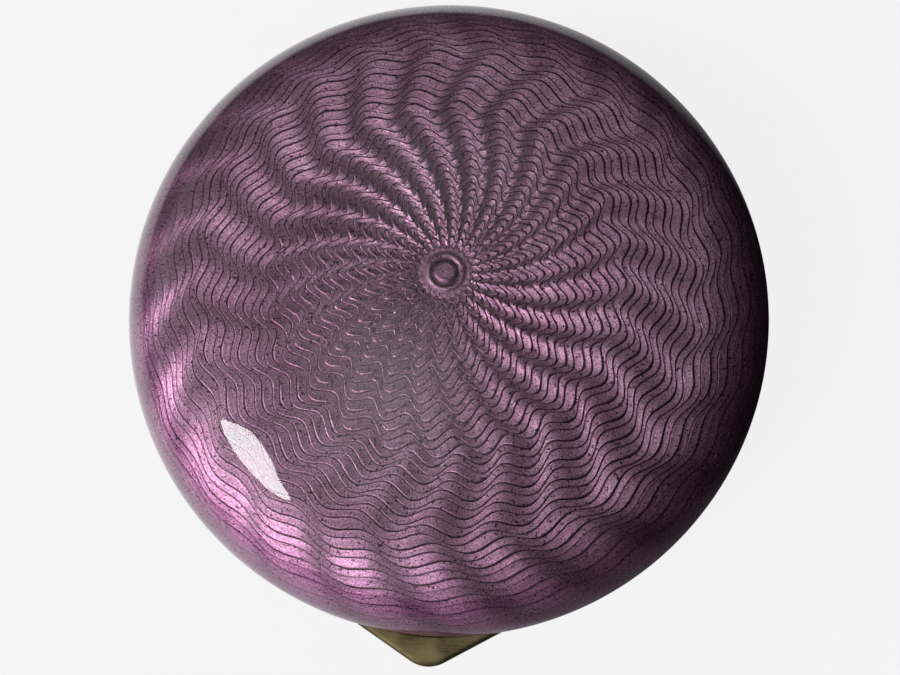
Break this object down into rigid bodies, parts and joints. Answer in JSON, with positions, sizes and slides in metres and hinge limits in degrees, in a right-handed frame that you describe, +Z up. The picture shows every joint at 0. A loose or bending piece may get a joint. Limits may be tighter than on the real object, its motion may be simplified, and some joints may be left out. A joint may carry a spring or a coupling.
{
  "type": "pill box",
  "caption": "Round domed pill box with a hinged lid, clear enamel over engine-turned silver, gilt rims, an inner collar and a small thumbpiece.",
  "frame": {"origin": "centre of the foot ring's resting face, on the axis of the round box", "axes": "+Z up through the lid, +Y towards the hinge, -Y towards the thumbpiece, +X to the right seen from the thumbpiece"},
  "size_m": [0.038, 0.0401, 0.0182],
  "materials": {
    "turned_silver": "engine-turned silver, bright cut, seen through enamel, gilt inside",
    "amethyst_enamel": "transparent amethyst enamel, fired and polished",
    "gilt": "silver-gilt, finely brushed, tarnished to olive brass",
    "steel_pin": "drawn wire, ends filed flush"
  },
  "bodies": {
    "base": {"base_shell": "turned_silver", "base_enamel": "amethyst_enamel", "base_bezel": "gilt", "base_collar": "gilt", "foot_ring": "gilt", "base_hinge_bearer": "gilt", "base_knuckle_left": "gilt", "base_knuckle_middle": "gilt", "base_knuckle_right": "gilt", "hinge_pin": "steel_pin"},
    "lid": {"lid_shell": "turned_silver", "lid_enamel": "amethyst_enamel", "lid_bezel": "gilt", "thumbpiece": "gilt", "lid_hinge_bearer": "gilt", "lid_knuckle_left": "gilt", "lid_knuckle_right": "gilt"}
  },
  "joints": [
    {"name": "lid_hinge", "type": "hinge", "parent": "base", "child": "lid", "pos_m": [0, 0.0187, 0.0082], "axis": [-1, 0, 0], "range_deg": [0, 108]}
  ]
}
